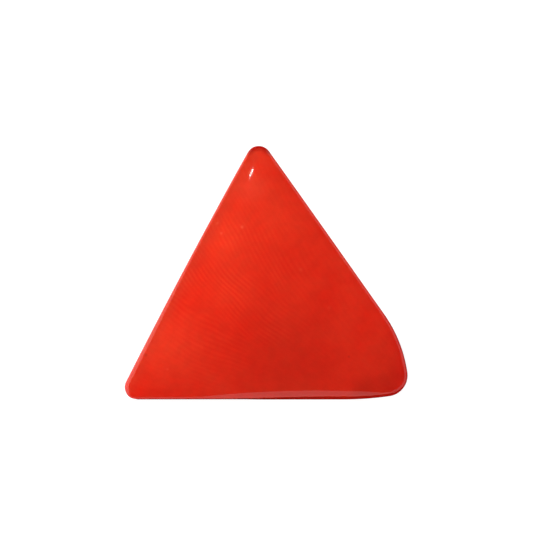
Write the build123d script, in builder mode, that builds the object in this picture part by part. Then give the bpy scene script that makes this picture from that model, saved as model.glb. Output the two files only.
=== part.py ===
from build123d import *
import os
from math import exp, hypot, log

# A triangular cabochon: one polished piece of precious coral, in millimetres.
# It lies on its flat base on the XY plane. +Y runs to the apex, +X to the bulging side, +Z up
# through the crown. The origin is below the centre of the outline's box.

# The outline at the girdle, anticlockwise from the apex. Each corner is the point where two
# sides would meet, with the radius that rounds it. The two bows are gentle bends in a side.
apex = (-0.58, 8.86)
left_bow = (-4.42, 1.73)
left_corner = (-9.50, -8.15)
front_bow = (6.38, -8.11)
right_corner = (9.21, -7.71)
right_shoulder = (8.70, -4.32)

apex_radius = 0.82
left_bow_radius = 680
left_corner_radius = 0.77
front_bow_radius = 21
right_corner_radius = 1.33
right_shoulder_radius = 8.6

# Heights above the base: the girdle is the widest level, and the crown starts at the rim.
girdle_height = 1.5
rim_height = 2.6

# The crown has a flank along each side, which rises steeply from the rim and levels out
# further in. Where flanks meet, the lower one counts, and crown_softness rounds the ridge.
flank_rise = 4.5
flank_reach = 8
crown_softness = 1.0

# The wall below the girdle leans in towards the base, and both of its edges are rounded.
wall_taper = 3
rim_round = 0.4
base_round = 0.18

# A long flat facet is ground along the front. It starts at a ridge near the crown's front edge,
# through the point below, and slopes down to the wall. It turns a little to the bulging side.
facet_ridge = (3.5, -7.58, 2.62)
facet_slope = 42
facet_turn = 1.2

# The crown is cut from a taller block, by a surface through a grid of points.
block_height = 6
cut_height = 18
grid_step = 1.0
grid_overhang = 0.3
surface_tolerance = 0.003


def side_distance(start, end, x, y):
    """Distance of a point from a side, positive on the stone's side of it."""
    along_x = end[0] - start[0]
    along_y = end[1] - start[1]
    return (along_x * (y - start[1]) - along_y * (x - start[0])) / hypot(along_x, along_y)


def flank_height(distance):
    """Height of a flank above the rim, carried on straight down outside the outline."""
    if distance < 0:
        return flank_rise * distance / flank_reach
    return flank_rise * (1 - exp(-distance / flank_reach))


def crown_height(x, y):
    """Height of the crown above the base: the soft minimum of the four flanks."""
    sides = (
        (apex, left_corner),
        (left_corner, front_bow),
        (right_corner, right_shoulder),
        (right_shoulder, apex),
    )
    flanks = [flank_height(side_distance(start, end, x, y)) for start, end in sides]
    return rim_height - crown_softness * log(sum(exp(-flank / crown_softness) for flank in flanks))


def grid_values(low, high):
    """Evenly spaced numbers from just below low to just above high."""
    first = low - grid_overhang
    length = high - low + 2 * grid_overhang
    count = round(length / grid_step)
    return [first + length * i / count for i in range(count + 1)]


with BuildPart() as coral_cabochon:
    with BuildSketch(Plane.XY.offset(girdle_height)) as girdle:
        with BuildLine():
            FilletPolyline(
                apex,
                left_bow,
                left_corner,
                front_bow,
                right_corner,
                right_shoulder,
                radius=[
                    apex_radius,
                    left_bow_radius,
                    left_corner_radius,
                    front_bow_radius,
                    right_corner_radius,
                    right_shoulder_radius,
                ],
                close=True,
            )
        make_face()
    extrude(amount=block_height - girdle_height)
    extrude(girdle.sketch, amount=-girdle_height, taper=wall_taper)

    box = girdle.sketch.bounding_box()
    crown = Face.make_surface_from_array_of_points(
        [
            [(x, y, crown_height(x, y)) for x in grid_values(box.min.X, box.max.X)]
            for y in grid_values(box.min.Y, box.max.Y)
        ],
        tol=surface_tolerance,
    )
    extrude(crown, amount=cut_height, dir=(0, 0, 1), mode=Mode.SUBTRACT)

    rim_edges = coral_cabochon.faces().sort_by(Axis.Z)[-1].edges()
    fillet(rim_edges, rim_round)
    base_edges = coral_cabochon.edges().group_by(Axis.Z)[0]
    fillet(base_edges, base_round)

    facet = Plane(Location(facet_ridge, (facet_slope, facet_turn, 0)))
    split(bisect_by=facet, keep=Keep.BOTTOM)

coral_cabochon.part.label = "coral_cabochon"

os.makedirs("parts", exist_ok=True)
export_step(coral_cabochon.part, "parts/coral_cabochon.step")
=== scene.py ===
import math

import bpy
import numpy as np
from mathutils import Matrix, Vector


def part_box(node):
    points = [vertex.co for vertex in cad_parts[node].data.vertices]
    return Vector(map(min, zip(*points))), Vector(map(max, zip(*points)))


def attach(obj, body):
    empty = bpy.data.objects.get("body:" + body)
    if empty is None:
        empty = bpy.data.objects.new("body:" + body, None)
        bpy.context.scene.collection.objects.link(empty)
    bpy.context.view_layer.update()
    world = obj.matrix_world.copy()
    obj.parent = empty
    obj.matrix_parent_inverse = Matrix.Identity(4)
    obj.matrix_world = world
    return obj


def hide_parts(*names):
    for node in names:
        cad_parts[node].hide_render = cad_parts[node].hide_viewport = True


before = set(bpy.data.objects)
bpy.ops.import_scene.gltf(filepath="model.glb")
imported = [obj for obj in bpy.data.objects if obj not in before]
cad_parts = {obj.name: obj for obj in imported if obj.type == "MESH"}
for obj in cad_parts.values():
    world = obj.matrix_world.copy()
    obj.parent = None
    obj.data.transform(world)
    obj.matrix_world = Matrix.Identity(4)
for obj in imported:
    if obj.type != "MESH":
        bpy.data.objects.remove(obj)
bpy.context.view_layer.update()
NODE = "coral_cabochon"
MM = 0.001

# The outline at the girdle, anticlockwise from the apex, in millimetres: each corner where two
# sides would meet, and the radius that rounds it.
APEX = (-0.58, 8.86)
LEFT_BOW = (-4.42, 1.73)
LEFT_CORNER = (-9.50, -8.15)
FRONT_BOW = (6.38, -8.11)
RIGHT_CORNER = (9.21, -7.71)
RIGHT_SHOULDER = (8.70, -4.32)
OUTLINE = (
    (APEX, 0.82),
    (LEFT_BOW, 680),
    (LEFT_CORNER, 0.77),
    (FRONT_BOW, 21),
    (RIGHT_CORNER, 1.33),
    (RIGHT_SHOULDER, 8.6),
)
SIDES = (
    (APEX, LEFT_CORNER),
    (LEFT_CORNER, FRONT_BOW),
    (RIGHT_CORNER, RIGHT_SHOULDER),
    (RIGHT_SHOULDER, APEX),
)

# Heights above the base and the shape of the crown, in millimetres.
GIRDLE_HEIGHT = 1.5
RIM_HEIGHT = 2.6
FLANK_RISE = 4.5
FLANK_REACH = 8
CROWN_SOFTNESS = 1.0
BASE_INSET = 0.07
BASE_ROUND = 0.18
WALL_LEAN = 0.03
FRONT_LEAN = 0.13
FRONT_UNDERCUT = 0.08

# Where the wall faces the front, or the left, by a part of its inward normal, and where along X
# the front's undercut and lean set in.
FRONT_FACING = (0.3, 0.95)
LEFT_FACING = (0.1, 0.4)
UNDERCUT_SPAN = (0, -4)
LEAN_SPAN = (-2.5, 3.5)

# The shoulder between the wall and the crown is a narrow round, and along the front a facet,
# whose ridge is a shallow bow. On the left, its width goes from the second value at the corner to
# the first near the apex, between the two distances from that corner. Widths and distances are
# in millimetres, slopes in degrees, at the wall and at the crown.
ROUND_WIDTH = 0.17
LEFT_WIDTHS = (0.12, 0.28)
LEFT_NARROWING = (2, 12)
FACET_END_WIDTH = 0.10
ROUND_SLOPES = (57, 33)
FACET_SLOPES = (43, 35)
RIDGE_MIDDLE = 3.5
RIDGE_Y = -7.61
RIDGE_BOW = 0.0074

# Lapping by hand leaves the crown a little uneven: long shallow waves, each with its direction
# in degrees, its length and its height in millimetres.
LAPPING = ((20, 7.0, 0.012), (75, 5.2, 0.007), (140, 3.6, 0.004), (110, 2.3, 0.0015))

# How finely the stone's mesh is divided.
OUTLINE_STEP = 0.01
FEWEST_STEPS = 24
AROUND = 480
CORNER_CROWDING = 2.5
BASE_RINGS = 10
EDGE_RINGS = 6
WALL_RINGS = 12
SHOULDER_RINGS = 20
CROWN_RINGS = 110
FIRST_BASE_RING = 0.08


# ---------------------------------------------------------------- the stone's shape


def outline_runs():
    """The outline as straight runs and arcs: (start, end, centre or None, radius)."""
    corners = [(Vector(point), radius) for point, radius in OUTLINE]
    arcs = []
    for i, (corner, radius) in enumerate(corners):
        back = (corners[i - 1][0] - corner).normalized()
        ahead = (corners[(i + 1) % len(corners)][0] - corner).normalized()
        half_angle = back.angle(ahead) / 2
        cut = radius / math.tan(half_angle)
        centre = corner + (back + ahead).normalized() * radius / math.sin(half_angle)
        arcs.append((corner + back * cut, corner + ahead * cut, centre, radius))
    runs = []
    for i, arc in enumerate(arcs):
        runs.append(arc)
        runs.append((arc[1], arcs[(i + 1) % len(arcs)][0], None, math.inf))
    return runs


def outline_points(count):
    """Points round the outline and their inward normals, closer together where it bends."""
    places, normals, weights = [], [], []
    for start, end, centre, radius in outline_runs():
        chord = end - start
        steps = max(FEWEST_STEPS, round(chord.length / OUTLINE_STEP))
        for k in range(steps):
            share = (k + 0.5) / steps
            if centre is None:
                place = start + chord * share
                normal = Vector((-chord.y, chord.x)).normalized()
            else:
                turn = (start - centre).angle(end - centre) * share
                place = centre + Matrix.Rotation(turn, 2) @ (start - centre)
                normal = (centre - place).normalized()
            places.append(place)
            normals.append(normal)
            weights.append(chord.length / steps * (1 + CORNER_CROWDING / radius))
    travelled = np.cumsum(weights)
    wanted = (np.arange(count) + 0.5) / count * travelled[-1]
    columns = []
    for values in (places, normals):
        array = np.array([tuple(value) for value in values])
        columns.append(
            np.stack([np.interp(wanted, travelled, array[:, axis]) for axis in (0, 1)], axis=1)
        )
    outline, inward = columns
    inward /= np.linalg.norm(inward, axis=1, keepdims=True)
    return outline, inward


def crown_height(flat):
    """Height of the crown above the base: the soft minimum of the four flanks, and the lapping."""
    x, y = flat[:, 0], flat[:, 1]
    total = np.zeros_like(x)
    for start, end in SIDES:
        along = np.subtract(end, start)
        distance = (along[0] * (y - start[1]) - along[1] * (x - start[0])) / np.hypot(*along)
        flank = FLANK_RISE * (1 - np.exp(-distance / FLANK_REACH))
        total += np.exp(-flank / CROWN_SOFTNESS)
    height = RIM_HEIGHT - CROWN_SOFTNESS * np.log(total)
    for direction, length, size in LAPPING:
        angle = math.radians(direction)
        height += size * np.sin((x * math.cos(angle) + y * math.sin(angle)) * math.tau / length)
    return height


def soft_step(value, low, high):
    """0 below low, 1 above high, and smooth between."""
    share = np.clip((value - low) / (high - low), 0, 1)
    return share * share * (3 - 2 * share)


def wall_insets(outline, inward):
    """How far in the wall stands at the girdle and at the shoulder, in millimetres.

    Along the front it is undercut at the left end and leans back at the right end.
    """
    x = outline[:, 0]
    front = soft_step(inward[:, 1], *FRONT_FACING)
    at_girdle = FRONT_UNDERCUT * front * soft_step(x, *UNDERCUT_SPAN)
    at_shoulder = WALL_LEAN + (FRONT_LEAN * soft_step(x, *LEAN_SPAN) - WALL_LEAN) * front
    return at_girdle, at_shoulder


def shoulder_shape(outline, inward, inset):
    """Width of the shoulder at each point, and its slopes at the wall and at the crown."""
    x, y = outline[:, 0], outline[:, 1]
    from_corner = np.hypot(x - LEFT_CORNER[0], y - LEFT_CORNER[1])
    near_apex, at_corner = LEFT_WIDTHS
    left_width = at_corner + (near_apex - at_corner) * soft_step(from_corner, *LEFT_NARROWING)
    left = soft_step(inward[:, 0], *LEFT_FACING)
    width = ROUND_WIDTH + (left_width - ROUND_WIDTH) * left
    front = soft_step(inward[:, 1], *FRONT_FACING)
    ridge = RIDGE_Y - RIDGE_BOW * (x - RIDGE_MIDDLE) ** 2
    facet_width = np.maximum(ridge - y - inset, FACET_END_WIDTH)
    width += (facet_width - width) * front
    slopes = []
    for rounded, flat in zip(ROUND_SLOPES, FACET_SLOPES):
        slopes.append(np.radians(rounded + (flat - rounded) * front))
    return width, slopes[0], slopes[1]


def stone_rings():
    """Closed rings of points from the middle of the base to the summit of the crown."""
    outline, inward = outline_points(AROUND)
    hub = outline.mean(axis=0)
    rings = []

    def add_ring(flat, height):
        rings.append(np.column_stack([flat, np.broadcast_to(height, len(flat))]))

    def add_inset_ring(inset, height):
        add_ring(outline + inward * np.reshape(inset, (-1, 1)), height)

    base_edge = outline + inward * (BASE_INSET + BASE_ROUND)
    for share in np.linspace(FIRST_BASE_RING, 1, BASE_RINGS):
        add_ring(hub + (base_edge - hub) * share, 0.0)
    for angle in np.linspace(0, math.pi / 2, EDGE_RINGS + 1)[1:]:
        inset = BASE_INSET + BASE_ROUND * (1 - math.sin(angle))
        add_inset_ring(inset, BASE_ROUND * (1 - math.cos(angle)))
    girdle_inset, top_inset = wall_insets(outline, inward)
    for share in np.linspace(0, 1, WALL_RINGS + 1)[1:]:
        inset = BASE_INSET + (girdle_inset - BASE_INSET) * math.sin(share * math.pi / 2)
        add_inset_ring(inset, BASE_ROUND + (GIRDLE_HEIGHT - BASE_ROUND) * share)

    width, wall_slope, crown_slope = shoulder_shape(outline, inward, top_inset)
    drop = width * (np.cos(crown_slope) - np.cos(wall_slope))
    drop /= np.sin(wall_slope) - np.sin(crown_slope)
    crown_edge = outline + inward * (top_inset + width)[:, None]
    edge_height = crown_height(crown_edge)
    wall_top = edge_height - drop
    for share in np.linspace(0, 1, WALL_RINGS + 1)[1:]:
        height = GIRDLE_HEIGHT + (wall_top - GIRDLE_HEIGHT) * share
        add_inset_ring(girdle_inset + (top_inset - girdle_inset) * share, height)
    for share in np.linspace(0, 1, SHOULDER_RINGS + 1)[1:]:
        slope = wall_slope + (crown_slope - wall_slope) * share
        across = (np.sin(wall_slope) - np.sin(slope)) / (np.sin(wall_slope) - np.sin(crown_slope))
        up = (np.cos(slope) - np.cos(wall_slope)) / (np.cos(crown_slope) - np.cos(wall_slope))
        add_inset_ring(top_inset + width * across, wall_top + drop * up)
    for share in np.linspace(1, 0, CROWN_RINGS + 1)[1:-1]:
        flat = hub + (crown_edge - hub) * share
        add_ring(flat, crown_height(flat))
    summit = crown_height(hub[None, :])[0]
    return rings, (*hub, 0.0), (*hub, summit)


def make_stone():
    """The stone as one closed mesh of quads, with a fan at each pole."""
    rings, bottom, summit = stone_rings()
    vertices = [bottom] + [tuple(point) for ring in rings for point in ring] + [summit]
    last = len(vertices) - 1
    faces = []
    for k in range(AROUND):
        after = (k + 1) % AROUND
        faces.append((0, 1 + after, 1 + k))
        for r in range(len(rings) - 1):
            low, high = 1 + r * AROUND, 1 + (r + 1) * AROUND
            faces.append((low + k, low + after, high + after, high + k))
        top_ring = 1 + (len(rings) - 1) * AROUND
        faces.append((top_ring + k, top_ring + after, last))
    mesh = bpy.data.meshes.new("coral_stone")
    mesh.from_pydata((np.array(vertices) * MM).tolist(), [], faces)
    mesh.shade_smooth()
    stone = bpy.data.objects.new("coral_stone", mesh)
    bpy.context.collection.objects.link(stone)
    return stone


# ---------------------------------------------------------------- the coral


class Nodes:
    """A short way of adding nodes to a tree and joining them."""

    def __init__(self, owner):
        owner.use_nodes = True
        self.tree = owner.node_tree
        self.tree.nodes.clear()

    def add(self, kind, inputs=None, **settings):
        node = self.tree.nodes.new(kind)
        for name, value in settings.items():
            setattr(node, name, value)
        for name, value in (inputs or {}).items():
            self.set(node, name, value)
        return node

    def set(self, node, name, value):
        if isinstance(value, bpy.types.NodeSocket):
            self.tree.links.new(value, node.inputs[name])
        else:
            node.inputs[name].default_value = value

    def math(self, operation, *values, clamp=False):
        node = self.add("ShaderNodeMath", operation=operation, use_clamp=clamp)
        for i, value in enumerate(values):
            self.set(node, i, value)
        return node.outputs[0]

    def vector(self, operation, *values, output=0):
        node = self.add("ShaderNodeVectorMath", operation=operation)
        for i, value in enumerate(values):
            self.set(node, "Scale" if operation == "SCALE" and i == 1 else i, value)
        return node.outputs[output]

    def mix(self, share, first, second, blend="MIX"):
        node = self.add("ShaderNodeMix", data_type="RGBA", blend_type=blend)
        for name, value in ((0, share), (6, first), (7, second)):
            self.set(node, name, value)
        return node.outputs[2]

    def noise(self, where, scale, detail=2.0, roughness=0.5, distortion=0.0, colour=False):
        inputs = {
            "Vector": where,
            "Scale": scale,
            "Detail": detail,
            "Roughness": roughness,
            "Distortion": distortion,
        }
        node = self.add("ShaderNodeTexNoise", inputs)
        return node.outputs["Color" if colour else "Fac"]

    def span(self, value, low, high, to_low=0.0, to_high=1.0):
        inputs = {
            "Value": value,
            "From Min": low,
            "From Max": high,
            "To Min": to_low,
            "To Max": to_high,
        }
        node = self.add("ShaderNodeMapRange", inputs, interpolation_type="SMOOTHSTEP")
        return node.outputs[0]

    def spot(self, where, centre, radius):
        """1 at a place in millimetres, falling softly to 0 at the radius."""
        distance = self.vector("DISTANCE", where, centre, output="Value")
        return self.span(distance, radius, 0)

    def finish(self, shader, kind):
        output = self.add(kind)
        self.tree.links.new(shader.outputs[0], output.inputs["Surface"])


# Colours of the coral, as linear red, green and blue.
CORAL_RED = (0.80, 0.0178, 0.0043, 1)
CORAL_ORANGE = (0.84, 0.0450, 0.0135, 1)
# Painted shade: a darker red for the shaded lower and right parts of the crown.
CORAL_PAINTED_SHADE = (0.58, 0.0140, 0.0037, 1)
# Painted shade: a darker, paler red for the strip along the left edge.
CORAL_EDGE_SHADE = (0.62, 0.0450, 0.0160, 1)
# Painted shade: a darker red for the low part of the wall.
CORAL_WALL_SHADE = (0.72, 0.0090, 0.0030, 1)
# Painted light: a brighter red for the lit patches of the crown.
CORAL_PAINTED_LIGHT = (0.95, 0.0500, 0.0130, 1)
# Dark red, for the real dark specks and for the painted shade round the apex.
CORAL_DARK_SPECK_AND_SHADE = (0.26, 0.0045, 0.0015, 1)
# Pale orange-white, for the real pale specks and for the painted sheen round the glint.
CORAL_PALE_SPECK_AND_SHEEN = (0.95, 0.1100, 0.0500, 1)

# Soft zones of the stone's colour, in millimetres: place, radius and strength. The orange zones are
# the coral's own tone; the others are painted light, painted sheen and painted shade.
ORANGE_ZONES = (
    ((-2.6, 2.2, 2.6), 3.6, 0.9),
    ((-1.0, 5.4, 2.6), 3.2, 0.8),
    ((-0.5, 7.4, 2.4), 1.6, 0.8),
    ((-1.6, -0.8, 3.2), 3.5, 0.5),
    ((-6.6, -4.6, 2.6), 3.4, 0.9),
    ((-3.4, -7.4, 2.6), 4.0, 0.25),
    ((3.0, 1.6, 2.6), 3.5, 0.3),
    ((0.2, 3.4, 2.9), 2.6, 0.35),
)
# Painted light: brighter patches where the crown is most lit, mainly in from the left edge.
PAINTED_LIGHT_ZONES = (
    ((-2.6, 2.0, 2.9), 2.0, 0.6),
    ((0.8, 2.8, 3.0), 2.8, 0.35),
    ((1.9, -1.9, 3.4), 2.5, 0.2),
    ((-2.4, -1.5, 3.1), 2.8, 0.3),
)
# Painted sheen: a paler patch round the glint near the apex.
PAINTED_SHEEN_ZONES = (((-1.0, 5.4, 2.8), 1.7, 0.18),)
# Painted shade: darker patches towards the front and the right corner, and one in the middle.
PAINTED_SHADE_ZONES = (
    ((1.9, -5.9, 2.8), 5.6, 0.45),
    ((1.6, -2.6, 3.3), 4.0, 0.15),
    ((7.6, -7.2, 2.4), 3.0, 0.35),
    ((6.4, -7.7, 2.4), 1.5, 0.7),
    ((8.1, -7.3, 2.4), 1.5, 0.7),
    ((8.8, -6.3, 2.3), 1.3, 0.6),
    ((7.8, -4.8, 2.6), 2.0, 0.3),
)

# Painted shade along the left edge, by the distance to the right of it, and round the apex.
LEFT_EDGE_NORMAL = (0.886, -0.464, 0)
LEFT_EDGE_SPAN = (-3.4, -4.9)
LEFT_EDGE_SHADE_STRENGTH = 0.9
APEX_MIDDLE = (-0.48, 7.30)
APEX_SPAN = (0.30, 0.80)
APEX_HEIGHTS = (7.3, 7.8)

# Small pale specks and two dark ones, on the crown: x, y, radius in millimetres and strength.
PALE_SPECKS = (
    (-3.08, 3.04, 0.16, 0.8),
    (-1.48, 2.74, 0.16, 0.8),
    (-2.80, 2.37, 0.15, 0.7),
    (2.27, 0.00, 0.20, 0.2),
    (4.06, -2.40, 0.22, 0.15),
    (-6.20, -6.30, 0.14, 0.25),
)
DARK_SPECKS = ((-7.60, -5.36, 0.18, 0.6), (5.30, -5.50, 0.12, 0.25))

# Painted shade on the wall: a darker red, in full below the first height and gone above the second.
WALL_SHADE_HEIGHTS = (1.7, 2.35)

# Clouds of orange in the red, and a fine mottling: how many to the millimetre, the part of the
# noise's range that is used, and the strength or the shades.
CLOUD_SCALE = 0.32
CLOUD_SPAN = (0.25, 0.75)
CLOUD_STRENGTH = 0.5
MOTTLE_SCALE = 1.6
MOTTLE_SPAN = (0.3, 0.7)
MOTTLE_SHADES = (0.965, 1.035)

# The growth lines come in families, each with its direction in degrees and its spacing in
# millimetres. Each later family takes over between two places along LINES_TURNING. They shade the
# red a little, and the green and blue more, so that each line is a paler orange.
LINES_FAMILIES = ((56, 0.272), (42, 0.268), (24, 0.318))
LINES_DEPTH = 0.6
LINES_TURNING = (0.6, 0.8, 0)
LINES_CHANGES = ((0.4, -1.8), (-3.2, -5.4))
LINES_WOBBLE_SCALE = 0.35
LINES_WOBBLE = 0.55
LINES_RED_SHADE = 0.024
LINES_PALE_SHADE = 0.28

# They show in patches, and are clearest round one place and fade with the distance from it.
PATCH_SCALE = 0.8
PATCH_SPAN = (0.35, 0.7)
PATCH_STRENGTHS = (0.3, 1.0)
LINES_MIDDLE = (-2.0, -1.4, 3.1)
LINES_REACH = (2.0, 6.2)
LINES_FAINT = 0.24

# The polish: roughness, and the heights of its waves, grain and lines in millimetres.
HAZE_SCALE = 0.9
HAZE_SPAN = (0.3, 0.75)
ROUGHNESS = (0.02, 0.05)
POLISH_SCALE = 1.1
POLISH_RELIEF = 0.0005
GRAIN_SCALE = 9.0
GRAIN_RELIEF = 0.00006
LINES_RELIEF = 0.00004

# How far light wanders below the surface, in millimetres, and its share of red, green and blue.
GLOW_DEPTH = 0.9
GLOW_SHARES = (1.0, 0.3, 0.15)


def growth_lines(n, where):
    """Fine parallel growth lines, which turn towards the lower left of the stone."""
    wobble = n.noise(where, LINES_WOBBLE_SCALE, detail=1.0, colour=True)
    wobble = n.vector("SCALE", n.vector("SUBTRACT", wobble, (0.5, 0.5, 0.5)), LINES_WOBBLE)
    bent = n.vector("ADD", where, wobble)
    families = []
    for angle, spacing in LINES_FAMILIES:
        slope = math.radians(angle)
        across = (math.sin(slope), math.cos(slope), LINES_DEPTH)
        phase = n.vector("DOT_PRODUCT", bent, across, output="Value")
        turns = n.math("MULTIPLY", phase, math.tau / spacing)
        families.append(n.math("SINE", turns))
    place = n.vector("DOT_PRODUCT", bent, LINES_TURNING, output="Value")
    lines = families[0]
    for family, change in zip(families[1:], LINES_CHANGES):
        share = n.span(place, *change)
        lines = n.add("ShaderNodeMix", {0: share, 2: lines, 3: family}, data_type="FLOAT").outputs[0]
    patches = n.span(n.noise(where, PATCH_SCALE, detail=2.0), *PATCH_SPAN, *PATCH_STRENGTHS)
    distance = n.vector("DISTANCE", where, LINES_MIDDLE, output="Value")
    fading = n.math("MULTIPLY", patches, n.span(distance, *LINES_REACH, 1.0, LINES_FAINT))
    return n.math("MULTIPLY", lines, fading)


def on_the_crown(specks):
    """Specks as spots in space: each gets the crown's height at its place."""
    spots = []
    for x, y, radius, strength in specks:
        height = crown_height(np.array([[x, y]]))[0]
        spots.append(((x, y, height), radius, strength))
    return spots


def left_edge_shade(n, where):
    """How much a place belongs to the painted shade along the left edge."""
    distance = n.vector("DOT_PRODUCT", where, LEFT_EDGE_NORMAL, output="Value")
    return n.span(distance, *LEFT_EDGE_SPAN, 0.0, LEFT_EDGE_SHADE_STRENGTH)


def apex_rim_shade(n, where):
    """How much a place belongs to the painted shade round the apex."""
    flat = n.vector("MULTIPLY", where, (1, 1, 0))
    distance = n.vector("DISTANCE", flat, (*APEX_MIDDLE, 0), output="Value")
    y = n.add("ShaderNodeSeparateXYZ", {0: where}).outputs["Y"]
    return n.math("MULTIPLY", n.span(distance, *APEX_SPAN), n.span(y, *APEX_HEIGHTS))


def coral_colour(n, where, lines):
    """Coral red with soft orange zones, clouds, growth lines and a few specks, and painted light,
    sheen and shade in zones, along the left edge, round the apex and on the wall.
    """
    clouds = n.noise(where, CLOUD_SCALE, detail=3.0, distortion=0.6)
    colour = n.mix(n.span(clouds, *CLOUD_SPAN), CORAL_RED, CORAL_ORANGE)
    colour = n.mix(CLOUD_STRENGTH, CORAL_RED, colour)
    # The orange zones and the specks are the coral's own colour; the other zones are painted light,
    # painted sheen and painted shade.
    tinted_spots = (
        (ORANGE_ZONES, CORAL_ORANGE),
        (PAINTED_SHADE_ZONES, CORAL_PAINTED_SHADE),
        (PAINTED_LIGHT_ZONES, CORAL_PAINTED_LIGHT),
        (PAINTED_SHEEN_ZONES, CORAL_PALE_SPECK_AND_SHEEN),
        (on_the_crown(PALE_SPECKS), CORAL_PALE_SPECK_AND_SHEEN),
        (on_the_crown(DARK_SPECKS), CORAL_DARK_SPECK_AND_SHADE),
    )
    for spots, tint in tinted_spots:
        for centre, radius, strength in spots:
            share = n.math("MULTIPLY", n.spot(where, centre, radius), strength)
            colour = n.mix(share, colour, tint)
    # Painted shade: the strip along the left edge and the rim round the apex are darker.
    colour = n.mix(left_edge_shade(n, where), colour, CORAL_EDGE_SHADE)
    colour = n.mix(apex_rim_shade(n, where), colour, CORAL_DARK_SPECK_AND_SHADE)
    # Painted shade: the wall is darker red low down.
    height = n.add("ShaderNodeSeparateXYZ", {0: where}).outputs["Z"]
    colour = n.mix(n.span(height, *WALL_SHADE_HEIGHTS), CORAL_WALL_SHADE, colour)
    mottle = n.noise(where, MOTTLE_SCALE, detail=4.0, roughness=0.6)
    shade = n.span(mottle, *MOTTLE_SPAN, *MOTTLE_SHADES)
    red = n.math("MULTIPLY_ADD", lines, LINES_RED_SHADE, shade)
    rest = n.math("MULTIPLY_ADD", lines, LINES_PALE_SHADE, shade)
    shades = n.add("ShaderNodeCombineColor", {0: red, 1: rest, 2: rest}).outputs[0]
    return n.mix(1.0, colour, shades, blend="MULTIPLY")


def coral_surface(n, where, lines):
    """Roughness and bump of the polish: faint waves, growth lines and micro pits."""
    haze = n.noise(where, HAZE_SCALE, detail=3.0)
    roughness = n.span(haze, *HAZE_SPAN, *ROUGHNESS)
    polish = n.noise(where, POLISH_SCALE, detail=1.0)
    grain = n.noise(where, GRAIN_SCALE, detail=2.0)
    relief = n.math("MULTIPLY", polish, POLISH_RELIEF)
    relief = n.math("MULTIPLY_ADD", grain, GRAIN_RELIEF, relief)
    relief = n.math("MULTIPLY_ADD", lines, LINES_RELIEF, relief)
    bump = n.add("ShaderNodeBump", {"Strength": 1.0, "Distance": MM, "Height": relief})
    return roughness, bump.outputs[0]


def coral_material():
    coral = bpy.data.materials.new("coral")
    n = Nodes(coral)
    position = n.add("ShaderNodeTexCoord").outputs["Object"]
    where = n.vector("SCALE", position, 1 / MM)
    lines = growth_lines(n, where)
    roughness, normal = coral_surface(n, where, lines)
    shader = n.add(
        "ShaderNodeBsdfPrincipled",
        {
            "Base Color": coral_colour(n, where, lines),
            "Roughness": roughness,
            "Normal": normal,
            "Subsurface Weight": 1.0,
            "Subsurface Radius": GLOW_SHARES,
            "Subsurface Scale": GLOW_DEPTH * MM,
        },
    )
    n.finish(shader, "ShaderNodeOutputMaterial")
    return coral


# ---------------------------------------------------------------- the studio

# The camera looks almost straight down, from a little towards the stone's front right.
CAMERA_TILT = math.radians(6)
CAMERA_SIDE = math.radians(20)
LENS = 200
SENSOR = 36
PICTURE_WIDTH = 34.1 * MM
AIM = Vector((0.016, 0.375, 1.5)) * MM
CLIP_END = 2.0

# The lights: azimuth and elevation of the place, energy, and for the suns their width, in degrees.
KEY_PLACE = (124, 42)
KEY_ENERGY = 2.1
KEY_WIDTH = 8
FILL_PLACE = (0, 90)
FILL_ENERGY = 0.6
FILL_WIDTH = 90
BOUNCE_PLACE = (-100, -20)
BOUNCE_ENERGY = 0.42
BOUNCE_WIDTH = 60
SIDE_PLACE = (20, -20)
SIDE_ENERGY = 0.5
SIDE_WIDTH = 30
GLINT_PLACE = (114.1, 53.9)
GLINT_DISTANCE = 0.406
GLINT_AXIS = (0.956, 0.272, 0.103)
GLINT_SIZE = (0.037, 0.0029)
GLINT_ENERGY = 0.0142

# What the stone mirrors: brightness, and the directions where each thing begins and ends, as the
# sine of the elevation (heights) or as how far the direction points to one side (spans).
CEILING_HEIGHTS = (0.42, 0.55)
TABLE_HEIGHTS = (0.0, -0.35)
WALL_GLOW = (0.90, 0.90, 0.90, 1)
FRONT_GLOW = (1.25, 1.25, 1.25, 1)
FRONT_HEIGHTS = (0.28, 0.05)
FRONT_SPAN = (-0.6, -0.9)
CEILING_GLOW = (0.1, 0.1, 0.1, 1)
TABLE_GLOW = (0.008, 0.008, 0.008, 1)
CARD_GLOW = (1.3, 1.3, 1.3, 1)
CARD_SIDE = (-0.88, 0.47, 0.0)
CARD_SPAN = (0.3, 0.7)
BACK_GLOW = (0.04, 0.04, 0.04, 1)
BACK_SPAN = (0.75, 0.9)

# The white floor and wall behind the stone, in metres, and their own glow.
FLOOR_RADIUS = 0.45
FLOOR_GAP = 0.002 * MM
BACKDROP_HEIGHT = 0.5
BACKDROP_STEPS = 96
BACKDROP_COLOUR = (0.3, 0.3, 0.3, 1)
BACKDROP_GLOW = 0.92


def towards(azimuth, elevation):
    """The direction of a place in the sky, given in degrees."""
    turn, lift = math.radians(azimuth), math.radians(elevation)
    return Vector(
        (math.cos(turn) * math.cos(lift), math.sin(turn) * math.cos(lift), math.sin(lift))
    )


def facing(right, back):
    """The rotation of an object that looks along minus back, with right to its right."""
    right = (right - back * right.dot(back)).normalized()
    return Matrix((right, back.cross(right), back)).transposed().to_4x4()


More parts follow.
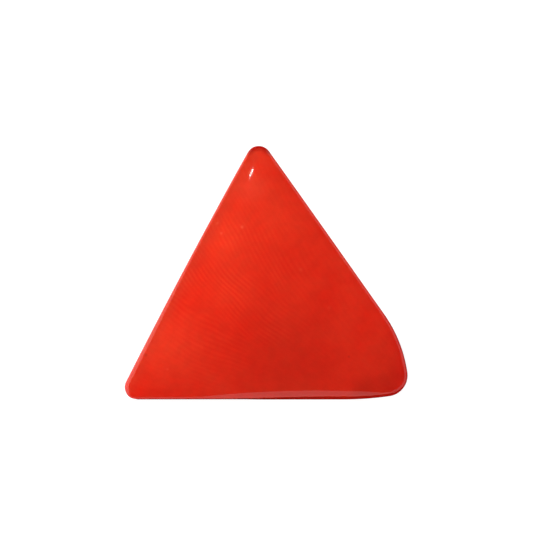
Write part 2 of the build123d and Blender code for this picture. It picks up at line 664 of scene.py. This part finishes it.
def make_camera():
    camera = bpy.data.objects.new("camera", bpy.data.cameras.new("camera"))
    bpy.context.collection.objects.link(camera)
    camera.data.lens = LENS
    camera.data.sensor_width = SENSOR
    back = Vector(
        (
            math.sin(CAMERA_TILT) * math.sin(CAMERA_SIDE),
            -math.sin(CAMERA_TILT) * math.cos(CAMERA_SIDE),
            math.cos(CAMERA_TILT),
        )
    )
    camera.matrix_world = facing(Vector((1, 0, 0)), back)
    camera.location = AIM + back * PICTURE_WIDTH * LENS / SENSOR
    camera.data.clip_start = MM
    camera.data.clip_end = CLIP_END
    bpy.context.scene.camera = camera


def make_backdrop():
    """A white floor and a round white wall that only the camera sees."""
    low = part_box(NODE)[0].z - FLOOR_GAP
    points = []
    for height in (low, low + BACKDROP_HEIGHT):
        for k in range(BACKDROP_STEPS):
            angle = math.tau * k / BACKDROP_STEPS
            points.append((FLOOR_RADIUS * math.cos(angle), FLOOR_RADIUS * math.sin(angle), height))
    faces = [tuple(range(BACKDROP_STEPS))]
    for k in range(BACKDROP_STEPS):
        after = (k + 1) % BACKDROP_STEPS
        faces.append((k, BACKDROP_STEPS + k, BACKDROP_STEPS + after, after))
    mesh = bpy.data.meshes.new("white_backdrop")
    mesh.from_pydata(points, [], faces)
    backdrop = bpy.data.objects.new("white_backdrop", mesh)
    bpy.context.collection.objects.link(backdrop)
    backdrop.visible_glossy = False
    backdrop.visible_diffuse = False
    backdrop.visible_transmission = False
    backdrop.visible_shadow = False
    mesh.materials.append(white_material())


def white_material():
    white = bpy.data.materials.new("white")
    n = Nodes(white)
    shader = n.add(
        "ShaderNodeBsdfPrincipled",
        {
            "Base Color": BACKDROP_COLOUR,
            "Roughness": 0.9,
            "Specular IOR Level": 0.0,
            "Emission Color": (1, 1, 1, 1),
            "Emission Strength": BACKDROP_GLOW,
        },
    )
    n.finish(shader, "ShaderNodeOutputMaterial")
    return white


def make_world():
    """Pale walls, brighter low at the front and dark at the back, and a white card at the left.

    The ceiling is dim and the table is dark.
    """
    world = bpy.data.worlds.new("studio")
    bpy.context.scene.world = world
    n = Nodes(world)
    direction = n.add("ShaderNodeTexCoord").outputs["Generated"]
    parts = n.add("ShaderNodeSeparateXYZ", {0: direction}).outputs
    depth, height = parts["Y"], parts["Z"]
    front = n.math("MULTIPLY", n.span(depth, *FRONT_SPAN), n.span(height, *FRONT_HEIGHTS))
    colour = n.mix(front, WALL_GLOW, FRONT_GLOW)
    colour = n.mix(n.span(height, *TABLE_HEIGHTS), colour, TABLE_GLOW)
    facing_card = n.vector("DOT_PRODUCT", direction, CARD_SIDE, output="Value")
    colour = n.mix(n.span(facing_card, *CARD_SPAN), colour, CARD_GLOW)
    colour = n.mix(n.span(depth, *BACK_SPAN), colour, BACK_GLOW)
    colour = n.mix(n.span(height, *CEILING_HEIGHTS), colour, CEILING_GLOW)
    background = n.add("ShaderNodeBackground", {"Color": colour, "Strength": 1.0})
    n.finish(background, "ShaderNodeOutputWorld")


def make_sun(name, place, energy, width):
    """A soft light from far away, which the stone doesn't mirror."""
    light = bpy.data.lights.new(name, "SUN")
    light.energy = energy
    light.angle = math.radians(width)
    sun = bpy.data.objects.new(name, light)
    bpy.context.collection.objects.link(sun)
    sun.rotation_mode = "QUATERNION"
    sun.rotation_quaternion = towards(*place).to_track_quat("Z", "Y")
    sun.visible_glossy = False


def make_glint_light():
    """A small bright strip, which the crown mirrors near the apex."""
    light = bpy.data.lights.new("glint", "AREA")
    light.shape = "RECTANGLE"
    light.size, light.size_y = GLINT_SIZE
    light.energy = GLINT_ENERGY
    strip = bpy.data.objects.new("glint", light)
    bpy.context.collection.objects.link(strip)
    back = towards(*GLINT_PLACE)
    strip.matrix_world = facing(Vector(GLINT_AXIS), back)
    strip.location = back * GLINT_DISTANCE


make_camera()
make_backdrop()
make_world()
make_sun("key", KEY_PLACE, KEY_ENERGY, KEY_WIDTH)
make_sun("fill", FILL_PLACE, FILL_ENERGY, FILL_WIDTH)
make_sun("bounce", BOUNCE_PLACE, BOUNCE_ENERGY, BOUNCE_WIDTH)
make_sun("side", SIDE_PLACE, SIDE_ENERGY, SIDE_WIDTH)
make_glint_light()

stone = make_stone()
stone.data.materials.append(coral_material())
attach(stone, "root")
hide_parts(NODE)

bpy.context.scene.view_settings.view_transform = "Standard"
